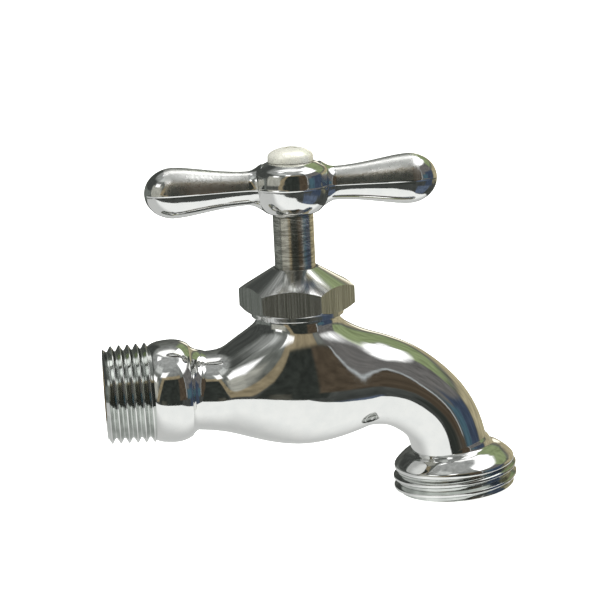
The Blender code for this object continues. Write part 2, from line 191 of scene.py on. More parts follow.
def turn(thing, matrix):
    """Transform the mesh itself."""
    thing.data.transform(matrix)
    return thing


def paint(thing, surface):
    thing.data.materials.clear()
    thing.data.materials.append(surface)
    return thing


def rings_to_object(name, rings):
    """Skin a row of rings of points and cap both ends."""
    bm = bmesh.new()
    made = [[bm.verts.new(point) for point in ring] for ring in rings]
    count = len(made[0])
    for low, high in zip(made, made[1:]):
        for k in range(count):
            following = (k + 1) % count
            bm.faces.new((low[k], low[following], high[following], high[k]))
    bm.faces.new(made[0])
    bm.faces.new(made[-1])
    return mesh_object(name, bm)


def turned(name, outline, sides):
    """Turn an outline of (radius, height) points about the Z axis."""
    angles = [2 * math.pi * k / sides for k in range(sides)]
    rings = [[(r * math.cos(a), r * math.sin(a), height) for a in angles] for r, height in outline]
    return rings_to_object(name, rings)


def rod(name, radius, bottom, top, sides=64):
    return turned(name, [(radius, bottom), (radius, top)], sides)


def prism(name, across_flats, corners, bottom, top, turned_by=0.0):
    """A regular prism with a flat facing -Y when it isn't turned."""
    radius = across_flats / 2 / math.cos(math.pi / corners)
    start = turned_by - math.pi / 2 + math.pi / corners
    angles = [start + 2 * math.pi * k / corners for k in range(corners)]
    rings = [[(radius * math.cos(a), radius * math.sin(a), z) for a in angles] for z in (bottom, top)]
    return rings_to_object(name, rings)


def arc(centre, radius, start, end, steps):
    """Points on an arc in an outline's plane, angles in degrees."""
    angles = np.radians(np.linspace(start, end, steps + 1))
    return [(centre[0] + radius * math.cos(a), centre[1] + radius * math.sin(a)) for a in angles]


def smooth_line(points, steps):
    """A Catmull-Rom curve through the points."""
    points = np.array(points, float)
    padded = np.vstack([2 * points[0] - points[1], points, 2 * points[-1] - points[-2]])
    curve = []
    for a, b, c, d in zip(padded, padded[1:], padded[2:], padded[3:]):
        for t in np.arange(steps) / steps:
            curve.append(tuple(0.5 * (2 * b + (c - a) * t + (2 * a - 5 * b + 4 * c - d) * t ** 2
                                      + (3 * b - a - 3 * c + d) * t ** 3)))
    curve.append(tuple(points[-1]))
    return curve


def rounded(points, cut, steps):
    """The same polyline with each inner corner rounded off, starting at most cut away from it."""
    points = [np.array(p, float) for p in points]
    line = [tuple(points[0])]
    for before, corner, after in zip(points, points[1:], points[2:]):
        back, on = before - corner, after - corner
        reach_back = min(cut, 0.45 * np.linalg.norm(back))
        reach_on = min(cut, 0.45 * np.linalg.norm(on))
        start = corner + back / np.linalg.norm(back) * reach_back
        end = corner + on / np.linalg.norm(on) * reach_on
        for t in np.linspace(0, 1, steps + 1):
            line.append(tuple((1 - t) ** 2 * start + 2 * t * (1 - t) * corner + t ** 2 * end))
    line.append(tuple(points[-1]))
    return line


def thread_section(crest, root):
    """(share of the pitch, level) points of one thread, with rounded crest and root."""
    half = [(0.0, 1.0), (crest / 2, 1.0), (0.5 - root / 2, 0.0), (0.5, 0.0)]
    half = rounded(half, 0.08, 5)
    return half[:-1] + [(1 - share, level) for share, level in half[:0:-1]]


def threaded_rod(name, pitch, crest_r, depth, bottom, top, sides, crest, root, phase=0.0, taper=0.0,
                 chamfer=0.0):
    """A solid rod with a right-hand thread from bottom to top, chamfered at both ends.

    crest and root are the widths of the flat crest and root as shares of the pitch.
    """
    section = thread_section(crest, root)
    first = math.floor((bottom - phase) / pitch) - 2
    last = math.ceil((top - phase) / pitch) + 1
    shares = [turn_no + share for turn_no in range(first, last) for share, _ in section]
    levels = [level for _ in range(first, last) for _, level in section]
    columns = []
    for k in range(sides + 1):
        heights = [phase + pitch * (share + k / sides) for share in shares]
        angle = 2 * math.pi * k / sides
        column = []
        for z in [bottom] + [min(max(z, bottom), top) for z in heights] + [top]:
            level = float(np.interp(z, heights, levels))
            radius = crest_r + taper * z - depth * (1 - level)
            end_gap = min(z - bottom, top - z)
            radius = min(radius, crest_r + taper * z - chamfer + end_gap)
            column.append((radius * math.cos(angle), radius * math.sin(angle), z))
        columns.append(column)
    bm = bmesh.new()
    grid = [[bm.verts.new(point) for point in column] for column in columns]
    for near, far in zip(grid, grid[1:]):
        for j in range(len(near) - 1):
            bm.faces.new((near[j], far[j], far[j + 1], near[j + 1]))
    for end in (0, -1):
        centre = bm.verts.new((0, 0, columns[0][end][2]))
        for near, far in zip(grid, grid[1:]):
            bm.faces.new((centre, near[end], far[end]))
    return mesh_object(name, bm)


def spine_frames(stations):
    """Position, up direction and radius along a spine in the XZ plane."""
    points = np.array([(x, z) for x, z, _ in stations], float)
    along = np.gradient(points, axis=0)
    along /= np.linalg.norm(along, axis=1)[:, None]
    return [((x, 0, z), (-t[1], 0, t[0]), r) for (x, z, r), t in zip(stations, along)]


def spine_ring(spine_frame, sides, scale=1.0):
    """A ring of points round the spine, starting at its top."""
    (x, _, z), (up_x, _, up_z), radius = spine_frame
    ring = []
    for k in range(sides):
        angle = math.pi / 2 - 2 * math.pi * k / sides
        lift = scale * radius * math.sin(angle)
        ring.append((x + up_x * lift, -scale * radius * math.cos(angle), z + up_z * lift))
    return ring


def swept(name, stations):
    """A round passage through (x, z, radius) stations, smoothed between them."""
    smooth = smooth_line(stations, 4)
    return rings_to_object(name, [spine_ring(one, 48) for one in spine_frames(smooth)])


def spline_controls(values):
    """Cage values whose smooth limit passes through the values given."""
    count = len(values)
    system = np.eye(count)
    for k in range(1, count - 1):
        system[k, k - 1:k + 2] = np.array((1, 4, 1)) / 6
    return np.linalg.solve(system, np.asarray(values, float))


def along_inlet():
    """Lays a piece made along Z on the inlet's axis."""
    return Matrix.Rotation(math.pi / 2, 4, "Y")


def along_outlet():
    """Lays a piece made along Z on the outlet's axis, pointing out of it."""
    return (Matrix.Translation((OUTLET_X, 0, OUTLET_Z))
            @ Matrix.Rotation(math.pi - OUTLET_TILT, 4, "Y"))


def on_stem():
    """Moves a piece made on Z to the stem's axis."""
    return Matrix.Translation((STEM_X, 0, 0))


def settle(thing, name, body, node, sharp=32.0):
    """Name a finished piece, turn it into metres, shade it, hide the CAD node it stands in for, and hang it
    on its body.
    """
    thing.name = name
    thing.data.name = name
    thing.data.transform(Matrix.Scale(MM, 4))
    thing.data.shade_smooth()
    thing.data.set_sharp_from_angle(angle=math.radians(sharp))
    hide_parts(node)
    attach(thing, body)
    return thing


# ---------------------------------------------------------------- materials

EVEN = (1, 1, 1)


def about_stem(nodes, links, coords):
    """Coordinates round the stem: the share of a turn as X, and the height as Z."""
    shift = nodes.new("ShaderNodeMapping")
    shift.inputs["Location"].default_value = (-STEM_X * MM, 0, 0)
    links.new(coords, shift.inputs["Vector"])
    bearing = nodes.new("ShaderNodeTexGradient")
    bearing.gradient_type = "RADIAL"
    links.new(shift.outputs["Vector"], bearing.inputs["Vector"])
    split = nodes.new("ShaderNodeSeparateXYZ")
    links.new(coords, split.inputs[0])
    joined = nodes.new("ShaderNodeCombineXYZ")
    links.new(bearing.outputs["Fac"], joined.inputs["X"])
    links.new(split.outputs["Z"], joined.inputs["Z"])
    return joined.outputs["Vector"]


def noise(nodes, links, coords, stretch, scale, detail):
    """A noise over the coordinates, stretched along their axes."""
    mapping = nodes.new("ShaderNodeMapping")
    mapping.inputs["Scale"].default_value = stretch
    links.new(coords, mapping.inputs["Vector"])
    made = nodes.new("ShaderNodeTexNoise")
    made.inputs["Scale"].default_value = scale
    made.inputs["Detail"].default_value = detail
    links.new(mapping.outputs["Vector"], made.inputs["Vector"])
    return made.outputs["Fac"]


def remap(nodes, links, source, low, high):
    """Spread a noise's usual values, 0.3 to 0.7, over the range from low to high."""
    made = nodes.new("ShaderNodeMapRange")
    made.inputs["From Min"].default_value = 0.3
    made.inputs["From Max"].default_value = 0.7
    made.inputs["To Min"].default_value = low
    made.inputs["To Max"].default_value = high
    links.new(source, made.inputs["Value"])
    return made.outputs["Result"]


def surface(name, metallic, colours, roughness, relief, grain=None, polar=False):
    """A material whose colour, roughness and relief all vary over the piece.

    colours are two near tints, roughness is a low and a high value, and relief is a list of (scale,
    stretch, depth in metres). Scale times stretch is how many cells of noise there are in a metre along
    X, Y and Z. grain is that count for the colour and the roughness, where they aren't even. In a polar
    material X counts the cells in a whole turn about the stem instead.
    """
    tint_grain = (EVEN, 350.0) if grain is None else (grain, 1.0)
    rough_grain = (EVEN, 900.0) if grain is None else (grain, 1.0)
    made = bpy.data.materials.new(name)
    made.use_nodes = True
    nodes, links = made.node_tree.nodes, made.node_tree.links
    shader = nodes["Principled BSDF"]
    shader.inputs["Metallic"].default_value = metallic
    coords = nodes.new("ShaderNodeTexCoord").outputs["Object"]
    if polar:
        coords = about_stem(nodes, links, coords)

    ramp = nodes.new("ShaderNodeValToRGB")
    ramp.color_ramp.elements[0].position = 0.35
    ramp.color_ramp.elements[1].position = 0.65
    ramp.color_ramp.elements[0].color = (*colours[0], 1)
    ramp.color_ramp.elements[1].color = (*colours[1], 1)
    links.new(noise(nodes, links, coords, *tint_grain, 4.0), ramp.inputs["Fac"])
    links.new(ramp.outputs["Color"], shader.inputs["Base Color"])

    dull = remap(nodes, links, noise(nodes, links, coords, *rough_grain, 3.0), *roughness)
    links.new(dull, shader.inputs["Roughness"])

    normal = None
    for scale, stretch, depth in relief:
        bump = nodes.new("ShaderNodeBump")
        bump.inputs["Distance"].default_value = depth
        links.new(noise(nodes, links, coords, stretch, scale, 2.0), bump.inputs["Height"])
        if normal is not None:
            links.new(normal, bump.inputs["Normal"])
        normal = bump.outputs["Normal"]
    links.new(normal, shader.inputs["Normal"])
    return made


chrome_cast = surface("chrome_on_casting", 1.0, ((0.80, 0.80, 0.79), (0.76, 0.765, 0.76)), (0.035, 0.075),
                      [(60.0, EVEN, 1.1e-4), (180.0, EVEN, 2.6e-5), (900.0, EVEN, 1.2e-6)])
chrome_thread = surface("chrome_on_thread", 1.0, ((0.82, 0.82, 0.81), (0.74, 0.745, 0.74)), (0.04, 0.09),
                        [(1400.0, EVEN, 6e-6)])
# The roots' darker colour is painted shade, where the thread's flanks shade each other; their higher
# roughness is the finish.
chrome_root_painted_shade = surface("chrome_in_roots_painted_shade", 1.0, ((0.66, 0.68, 0.66), (0.52, 0.54, 0.52)), (0.06, 0.13),
                      [(1400.0, EVEN, 8e-6)])
chrome_flat = surface("chrome_on_nut_flats", 0.985, ((0.98, 0.98, 0.96), (0.55, 0.55, 0.52)), (0.05, 0.12),
                      [(1.0, (240, 1, 50), 2.0e-5), (1.0, (60, 1, 60), 1.2e-5)], (230, 1, 40),
                      polar=True)
chrome_cone = surface("chrome_on_nut_cone", 1.0, ((0.98, 0.98, 0.97), (0.74, 0.74, 0.73)), (0.10, 0.19),
                      [(1.0, (150, 1, 90), 1.1e-5), (1.0, (40, 1, 220), 1.6e-5)], (170, 1, 70),
                      polar=True)
chrome_handle = surface("chrome_on_handle", 1.0, ((0.82, 0.82, 0.81), (0.78, 0.785, 0.78)), (0.06, 0.11),
                        [(240.0, EVEN, 1.6e-5), (2600.0, EVEN, 3e-6)])
chrome_arm = surface("chrome_on_rough_casting", 1.0, ((0.98, 0.98, 0.96), (0.88, 0.88, 0.86)), (0.25, 0.34),
                     [(240.0, EVEN, 1.2e-5), (1700.0, EVEN, 3.4e-5)])
water_way = surface("brass_water_way", 1.0, ((0.62, 0.50, 0.30), (0.45, 0.38, 0.26)), (0.35, 0.55),
                    [(500.0, EVEN, 4e-5)])
stem_metal = surface("turned_metal", 1.0, ((0.90, 0.89, 0.84), (0.44, 0.43, 0.40)), (0.16, 0.24),
                     [(1.0, (700, 700, 2600), 1.8e-5)], (400, 400, 2600))
screw_metal = surface("pale_plating", 0.35, ((0.90, 0.89, 0.80), (0.82, 0.81, 0.71)), (0.22, 0.34),
                      [(1200.0, EVEN, 1.2e-5)])
brass = surface("machined_brass", 1.0, ((0.78, 0.62, 0.34), (0.66, 0.50, 0.26)), (0.22, 0.38),
                [(1.0, (50, 50, 5000), 4e-6)])
rubber = surface("moulded_rubber", 0.0, ((0.030, 0.030, 0.030), (0.050, 0.048, 0.046)), (0.55, 0.75),
                 [(3000.0, EVEN, 1e-5)])
graphite = surface("graphite_yarn", 0.0, ((0.10, 0.10, 0.105), (0.045, 0.045, 0.05)), (0.45, 0.7),
                   [(1800.0, (1, 1, 2.5), 6e-5)])
fibre = surface("red_fibre_sheet", 0.0, ((0.42, 0.10, 0.06), (0.32, 0.07, 0.045)), (0.6, 0.85),
                [(4000.0, EVEN, 1.5e-5)])


# ---------------------------------------------------------------- the plated body

# From the inlet's collar round to the spout: x, z and outside radius along the middle line
BODY_STATIONS = (
    (15.0, -0.2, 8.3), (20.0, -0.4, 8.45), (25.0, -0.65, 9.0), (30.2, -0.35, 10.95),
    (STEM_X, -0.1, 13.5), (54.2, -0.45, 11.3), (59.0, -0.95, 10.05), (63.4, -2.4, 9.3),
    (67.2, -4.8, 8.75), (70.8, -8.2, 8.4), (73.0, -12.0, 8.3), (74.1, -16.0, 8.35),
    (74.9, -20.5, 8.5),
)
NECK_STATIONS = (3, 4, 5)
CASTING_LEVELS = 4


def casting():
    """The smooth outside of the cast body: a tube along the spine with the neck growing out of it."""
    table = np.column_stack([spline_controls(column) for column in zip(*BODY_STATIONS)])
    bm = bmesh.new()
    crease = bm.edges.layers.float.new("crease_edge")
    rings = []
    for one in spine_frames([tuple(row) for row in table]):
        rings.append([bm.verts.new(point) for point in spine_ring(one, 8, 1 / OCTAGON_LIMIT)])
    first, middle, last = NECK_STATIONS
    for index, (low, high) in enumerate(zip(rings, rings[1:])):
        for k in range(8):
            if index in (first, middle) and k in (0, 7):
                continue
            bm.faces.new((low[k], low[(k + 1) % 8], high[(k + 1) % 8], high[k]))
    loop = [rings[last][0], rings[last][1], rings[middle][1], rings[first][1],
            rings[first][0], rings[first][7], rings[middle][7], rings[last][7]]
    for radius, height in ((9.75, 13.2), (NECK_R / OCTAGON_LIMIT, 15.2), (NECK_R / OCTAGON_LIMIT, 16.5)):
        upper = []
        for k in range(8):
            angle = -2 * math.pi * k / 8
            upper.append(bm.verts.new((STEM_X + radius * math.cos(angle), radius * math.sin(angle), height)))
        for k in range(8):
            bm.faces.new((loop[k], loop[(k + 1) % 8], upper[(k + 1) % 8], upper[k]))
        loop = upper
    bm.verts.remove(rings[middle][0])
    for ring in (rings[0], rings[-1], loop):
        bm.faces.new(ring)
        for k in range(8):
            bm.edges.get((ring[k], ring[(k + 1) % 8]))[crease] = 1.0
    cage = mesh_object("casting", bm)
    smooth = cage.modifiers.new("smooth", "SUBSURF")
    smooth.levels = CASTING_LEVELS
    smooth.render_levels = CASTING_LEVELS
    apply_modifiers(cage)
    return paint(cage, chrome_cast)


def inlet_collar():
    """A barrel-shaped bead behind the inlet's thread, running down into the body's tube."""
    outline = smooth_line([(9.95, COLLAR_START), (10.35, 10.4), (10.7, 11.3), (10.93, 12.5), (11.05, 14.2),
                           (10.97, 15.6), (10.65, 16.9)] + arc((12.2, 21.3), 3.85, 236, 186, 8), 4)
    return turned("collar", [(8.2, COLLAR_START)] + outline + [(8.0, COLLAR_END)], 192)


def outlet_flange():
    """The conical flange over the outlet's thread."""
    outline = smooth_line([(7.4, -7.5), (8.2, -6.4), (8.6, -5.3), (9.9, -4.8), (10.8, -4.35),
                           (12.0, -3.35), (12.9, -2.4), (13.12, -1.8), (12.95, -1.2), (12.2, -0.85)], 5)
    return turned("flange", outline, 144)


def plate_thread(thread, crest_r, depth, taper=0.0):
    """Bright plating on the crests, and rougher plating in the roots between them, darkened with painted
    shade.
    """
    paint(thread, chrome_thread)
    thread.data.materials.append(chrome_root_painted_shade)
    for face in thread.data.polygons:
        x, y, z = face.center
        level = 1 - (crest_r + taper * z - math.hypot(x, y)) / depth
        # Faces deep in the roots get the darker material, which paints shade into the grooves.
        if level < 0.5:
            face.material_index = 1
    return thread


def inlet_thread():
    thread = threaded_rod("inlet_thread", INLET_PITCH, INLET_CREST_R, INLET_THREAD_DEPTH, 0.0,
                          INLET_THREAD_END, 128, crest=0.1, root=0.14, phase=1.0, taper=INLET_TAPER,
                          chamfer=0.75)
    return plate_thread(thread, INLET_CREST_R, INLET_THREAD_DEPTH, INLET_TAPER)


def outlet_thread():
    thread = threaded_rod("outlet_thread", HOSE_PITCH, HOSE_CREST_R, HOSE_THREAD_DEPTH, -1.6, OUTLET_END,
                          160, crest=0.24, root=0.3, phase=HOSE_PITCH / 4, chamfer=0.9)
    return plate_thread(thread, HOSE_CREST_R, HOSE_THREAD_DEPTH)


def inlet_passage():
    """The way in, which dips under the bridge and comes up through the seat."""
    stations = ((18.0, 0.0, 6.2), (24.0, -0.5, 6.0), (29.0, -3.0, 5.1), (33.5, -5.8, 4.5),
                (38.0, UNDER_SEAT_Z, 4.5), (STEM_X, UNDER_SEAT_Z, 4.6), (45.2, UNDER_SEAT_Z, 3.6))
    passage = swept("inlet_passage", stations)
    combine(passage, turn(rod("inlet_bore", INLET_BORE_R, -1.0, 20.0, 96), along_inlet()), "UNION")
    riser = rod("riser", RISER_R, UNDER_SEAT_Z, BRIDGE_BOTTOM + 0.5)
    return combine(passage, turn(riser, on_stem()), "UNION")


def outlet_passage():
    """The chamber over the seat, and the way from it round the spout."""
    stations = ((STEM_X + 1.0, 3.4, 2.6), (46.0, 3.2, 4.2), (50.5, 2.5, 5.6), (55.0, 1.0, 6.6),
                (59.5, -0.8, 7.0), (64.0, -2.5, 6.9), (67.8, -4.9, 6.5), (71.0, -8.2, 6.3),
                (73.2, -12.0, 6.2), (74.3, -16.0, 6.3), (74.9, -19.5, 8.6))
    passage = swept("outlet_passage", stations)
    bore = [(8.0, -3.4), (OUTLET_BORE_R, -1.6), (OUTLET_BORE_R, OUTLET_END + 1)]
    combine(passage, turn(turned("outlet_bore", bore, 128), along_outlet()), "UNION")
    return combine(passage, turn(rod("chamber", CHAMBER_R, BRIDGE_TOP, CHAMBER_TOP), on_stem()), "UNION")


def stem_bore():
    """The bore down the neck: packing shelf, relief and the female lifting thread."""
    cutter = threaded_rod("lift_thread", LIFT_LEAD, 7.0, LIFT_DEPTH, 6.3, 14.4, 48, crest=0.42,
                          root=0.22)
    combine(cutter, rod("relief", NECK_BORE_R, 14.2, NECK_SHELF + 0.1), "UNION")
    combine(cutter, rod("shelf", SHELF_BORE_R, NECK_SHELF, NECK_TOP + 1), "UNION")
    return turn(cutter, on_stem())


def plated_body():
    """The casting with its collar, flange and three threads, bored for water and stem."""
    body = casting()
    combine(body, paint(turn(inlet_collar(), along_inlet()), chrome_cast), "UNION")
    combine(body, paint(turn(outlet_flange(), along_outlet()), chrome_cast), "UNION")
    combine(body, turn(inlet_thread(), along_inlet()), "UNION")
    combine(body, turn(outlet_thread(), along_outlet()), "UNION")
    combine(body, turn(rod("above_neck", 12.0, NECK_THREAD_BOTTOM, 20.0), on_stem()), "DIFFERENCE")
    neck = threaded_rod("neck_thread", NECK_PITCH, NECK_THREAD_R, NECK_THREAD_DEPTH,
                        NECK_THREAD_BOTTOM - 0.5, NECK_TOP, 64, crest=0.24, root=0.3, chamfer=0.4)
    combine(body, paint(turn(neck, on_stem()), chrome_thread), "UNION")
    for cutter in (inlet_passage(), outlet_passage(), stem_bore(),
                   turn(rod("seat_hole", SEAT_HOLE_R, BRIDGE_BOTTOM, BRIDGE_TOP + 1), on_stem())):
        combine(body, paint(cutter, water_way), "DIFFERENCE")
    return settle(body, "plated_body", "valve", "valve_body")


# ---------------------------------------------------------------- nut, stem, handle and screw

def packing_nut():
    """A hexagon with a long cone on top and a washer face below, hollow for neck and packing."""
    corner_r = NUT_ACROSS_FLATS / 2 / math.cos(math.pi / 6)
    outline = rounded([(9.6, NUT_BOTTOM), (NUT_RIM_R, NUT_BOTTOM), (NUT_RIM_R, NUT_RIM_TOP),
                       (10.75, NUT_RIM_TOP), (corner_r, HEXAGON_BOTTOM), (corner_r, HEXAGON_TOP),
                       (5.0, NUT_TOP), (4.7, NUT_TOP)], 0.15, 3)
    nut = turned("packing_nut", outline, 192)
    combine(nut, prism("hexagon", NUT_ACROSS_FLATS, 6, 14.0, 26.0, NUT_TURN), "INTERSECT")
    hollow = threaded_rod("nut_thread", NECK_PITCH, 9.1, 0.65, 14.6, NUT_SHELF, 48, crest=0.4, root=0.18)
    combine(hollow, rod("packing_bore", PACKING_BORE_R, NUT_SHELF - 1, PACKING_TOP), "UNION")
    combine(hollow, rod("stem_hole", STEM_HOLE_R, 21.4, 27.0, 96), "UNION")
    combine(nut, hollow, "DIFFERENCE")
    turn(nut, on_stem())
    paint(nut, chrome_flat)
    nut.data.materials.append(chrome_cone)
    for face in nut.data.polygons:
        if abs(face.normal.z) > 0.3 or face.center.z < NUT_RIM_TOP + 0.2:
            face.material_index = 1
    return settle(nut, "packing_nut_plated", "valve", "packing_nut", sharp=8)


def turned_stem():
    """Threaded foot, journal with fine tool rings and square tang, bored at both ends."""
    body = threaded_rod("stem", LIFT_LEAD, 6.85, LIFT_DEPTH, STEM_FOOT, STEM_SHOULDER, 64, crest=0.28,
                        root=0.36, chamfer=LIFT_DEPTH)
    rings = [(STEM_R, STEM_SHOULDER - 1), (STEM_R, RING_BOTTOM - 0.2)]
    for z in np.arange(RING_BOTTOM, HUB_BOTTOM - 0.4, RING_PITCH):
        rings += [(STEM_R, z), (STEM_R - RING_DEPTH, z + 0.25)]
    rings += [(STEM_R, HUB_BOTTOM - 0.15)]
    combine(body, turned("journal", rings, 96), "UNION")
    tang = prism("tang", TANG_SIDE, 4, HUB_BOTTOM - 1, STEM_TOP)
    combine(tang, rod("tang_corners", STEM_R - 0.06, 30.0, 50.0), "INTERSECT")
    combine(body, tang, "UNION")
    combine(body, rod("spigot_bore", SPIGOT_BORE_R, 4.0, 11.9), "DIFFERENCE")
    combine(body, rod("screw_bore", SCREW_BORE_R, 38.4, 47.0), "DIFFERENCE")
    turn(body, on_stem())
    paint(body, stem_metal)
    return settle(body, "stem_turned", "spindle", "stem")


def parting_ridge(off):
    """How high the mould's parting ridge stands at a distance from its middle."""
    return RIDGE * math.exp(-(off / RIDGE_WIDTH) ** 2)


def handle_arm(side):
    """A club-shaped arm, slim at the hub and fat near its rounded end, with the mould's parting ridge."""
    outline = smooth_line([(4.9, 6.4), (4.2, 7.5), (3.75, 8.5), (3.6, 9.7), (3.75, 12.5), (4.15, 16.0),
                           (4.7, 19.5), (5.15, 22.5), (ARM_END_R, ARM_END_START)]
                          + [(ARM_END_R * math.cos(a), ARM_END_START + ARM_END_LENGTH * math.sin(a))
                             for a in np.radians((12, 24, 36, 48, 60, 72, 82))], 4)
    outline = [(3.8, 0.0), (4.9, 6.0)] + outline + [(0.2, ARM_END_START + ARM_END_LENGTH)]

    def from_parting(angle):
        return min(abs(angle - math.pi / 2), abs(angle + math.pi / 2))

    near = [sign * math.pi / 2 + step for sign in (-1, 1) for step in np.linspace(-0.12, 0.12, 13)]
    angles = sorted(near + [a for a in np.linspace(-math.pi, math.pi, 96, endpoint=False)
                            if from_parting(a) > 0.13])
    rings = []
    for radius, height in outline:
        ring = []
        for a in angles:
            ridge = parting_ridge(radius * from_parting(a)) if radius > 1 else 0
            ring.append(((radius + ridge) * math.cos(a), ARM_FLATTENING * (radius + ridge) * math.sin(a),
                         height))
        rings.append(ring)
    arm = rings_to_object("arm", rings)
    turn(arm, Matrix.Rotation(side * math.pi / 2, 4, "Y"))
    return turn(arm, Matrix.Translation((0, 0, HANDLE_MIDDLE)))


def tee_handle():
    """A double-cone hub with two arms, polished but for the rough upper sides of the arms."""
    sharp_rise = [(HUB_R + parting_ridge(dz), HANDLE_MIDDLE + dz) for dz in np.linspace(-0.4, 0.4, 9)]
    outline = (smooth_line([(4.9, HUB_BOTTOM), (5.9, 37.3), (6.85, 38.3), (7.6, 39.6), (8.05, 41.0),
                            (HUB_R, 42.15)], 6)
               + sharp_rise
               + smooth_line([(HUB_R, 43.1), (8.25, 44.2), (7.95, 45.7), (7.1, 46.7), (5.1, HUB_TOP)], 6))
    grip = turned("handle", outline, 192)
    for side in (-1, 1):
        combine(grip, handle_arm(side), "UNION")
    combine(grip, prism("socket", SOCKET_SIDE, 4, 36.0, 46.2), "DIFFERENCE")
    combine(grip, rod("screw_hole", 2.3, 45.0, 49.0), "DIFFERENCE")
    turn(grip, on_stem())
    paint(grip, chrome_handle)
    grip.data.materials.append(chrome_arm)
    for face in grip.data.polygons:
        out = abs(face.center.x - STEM_X)
        if face.center.z > HANDLE_MIDDLE + 0.2 and ROUGH_START < out < ROUGH_END:
            face.material_index = 1
    return settle(grip, "tee_handle", "spindle", "handle")


def domed_screw():
    """A domed machine screw with a cross recess."""
    under = HUB_TOP + 0.05
    rim = under + SCREW_RIM_HEIGHT
    outline = rounded([(1.5, 39.2), (SCREW_R, 39.7), (SCREW_R, under), (SCREW_HEAD_R, under),
                       (SCREW_HEAD_R, rim)], 0.15, 3)
    outline += [(SCREW_HEAD_R * math.cos(a), rim + SCREW_DOME_HEIGHT * math.sin(a))
                for a in np.radians(np.arange(6, 89, 6))]
    screw = turned("handle_screw", outline, 96)
    for angle in (0, math.pi / 2):
        bar = rings_to_object("recess", [[(x * size, y * size, z) for x, y in
                                          ((-2.3, -0.42), (2.3, -0.42), (2.3, 0.42), (-2.3, 0.42))]
                                         for z, size in ((under + 1.7, 0.35), (under + 4.0, 1.15))])
        combine(screw, turn(bar, Matrix.Rotation(angle + math.pi / 4, 4, "Z")), "DIFFERENCE")
    turn(screw, on_stem())
    paint(screw, screw_metal)
    return settle(screw, "handle_screw_domed", "spindle", "handle_screw")


plated_body()
packing_nut()
turned_stem()
tee_handle()
domed_screw()

# The pieces inside keep their CAD meshes and get finished surfaces
INNER = {
    "valve_seat": brass, "seat_washer": rubber, "washer_nut": brass, "jumper": brass,
    "jumper_clip": brass, "packing_washer": brass, "packing_ring_lower": graphite,
    "packing_ring_upper": graphite, "gland_follower": brass, "neck_gasket": fibre,
}
for node, finish in INNER.items():
    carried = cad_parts[node]
    for slot in carried.material_slots:
        slot.material = finish


# ---------------------------------------------------------------- floor, light and camera

def card(name, corners):
    """A flat sheet in the studio, not part of the object, with its own material."""
    bm = bmesh.new()
    bm.faces.new([bm.verts.new(corner) for corner in corners])
    mesh = bpy.data.meshes.new(name)
    bm.to_mesh(mesh)
    bm.free()
    sheet = bpy.data.objects.new(name, mesh)
    bpy.context.collection.objects.link(sheet)
    plain = bpy.data.materials.new(name)
    plain.use_nodes = True
    mesh.materials.append(plain)
    return sheet, plain.node_tree


# In metres: how far under the tap the mirrored table and the floor lie, and half the floor's width
TABLE_DROP = 0.0135
FLOOR_GAP = 0.0002
FLOOR_REACH = 4.0

# The studio that the plating mirrors. ROOM gives height in degrees and colour from floor to ceiling.
ROOM = ((-90, (0.045, 0.05, 0.045)), (-12, (0.07, 0.075, 0.07)), (10, (0.10, 0.105, 0.095)),
        (40, (0.16, 0.17, 0.155)), (60, (0.33, 0.34, 0.33)), (90, (0.42, 0.43, 0.42)))

# Soft patches over it, the later ones in front: bearing and height of the middle in degrees (bearing 0
# is +Y, behind the tap, and 90 is +X), half width, half height, soft edge, lean (how far the bearing
# grows for each degree down), and colour
PATCHES = (
    (47, 2, 33, 16, 9, 0, (0.44, 0.39, 0.25)),
    (52, 36, 34, 12, 9, 0, (0.27, 0.33, 0.17)),
    (17, 10, 5, 5, 4, 0, (1.25, 1.2, 1.0)),
    (112, 28, 27, 17, 10, 0, (0.16, 0.155, 0.15)),
    (104, -6, 19, 23, 6, 0, (0.055, 0.075, 0.115)),
    (124, 0, 9, 9, 5, 0, (0.07, 0.13, 0.165)),
    (122, -44, 26, 14, 7, 0, (0.11, 0.14, 0.20)),
    (76, -14, 12, 8, 4, 0, (0.19, 0.18, 0.12)),
    (302, -4, 34, 14, 6, 0, (0.17, 0.185, 0.17)),
    (304, 30, 48, 18, 8, 0, (0.065, 0.07, 0.065)),
    (240, 14, 22, 18, 9, 0, (0.44, 0.44, 0.39)),
    (209, 14, 6, 24, 3, 0.5, (0.30, 0.25, 0.16)),
    (178, 41, 26, 4, 3, 0, (0.30, 0.25, 0.16)),
    (176, 9, 29, 29, 3, 0.35, (0.035, 0.04, 0.035)),
    (198, -14, 7, 5, 4, 0, (0.085, 0.085, 0.07)),
    (150, 14, 13, 24, 5, 0, (0.085, 0.066, 0.046)),
    (137, 16, 1, 22, 2, 0, (0.46, 0.49, 0.50)),
    (228, 58, 20, 8, 7, 0, (0.62, 0.64, 0.62)),
    (10, 72, 46, 11, 9, 0, (1.3, 1.3, 1.28)),
    (198, 49, 8, 5, 6, 0.5, (2.2, 2.2, 2.2)),
    (238, 34, 10, 5, 6, 0, (1.8, 1.8, 1.8)),
    (98, 57, 36, 12, 8, 0, (2.0, 2.0, 2.0)),
    (293, 73, 18, 5, 4, 0, (1.5, 1.5, 1.5)),
    (43, 60, 16, 10, 5, 0, (2.2, 2.2, 2.18)),
)


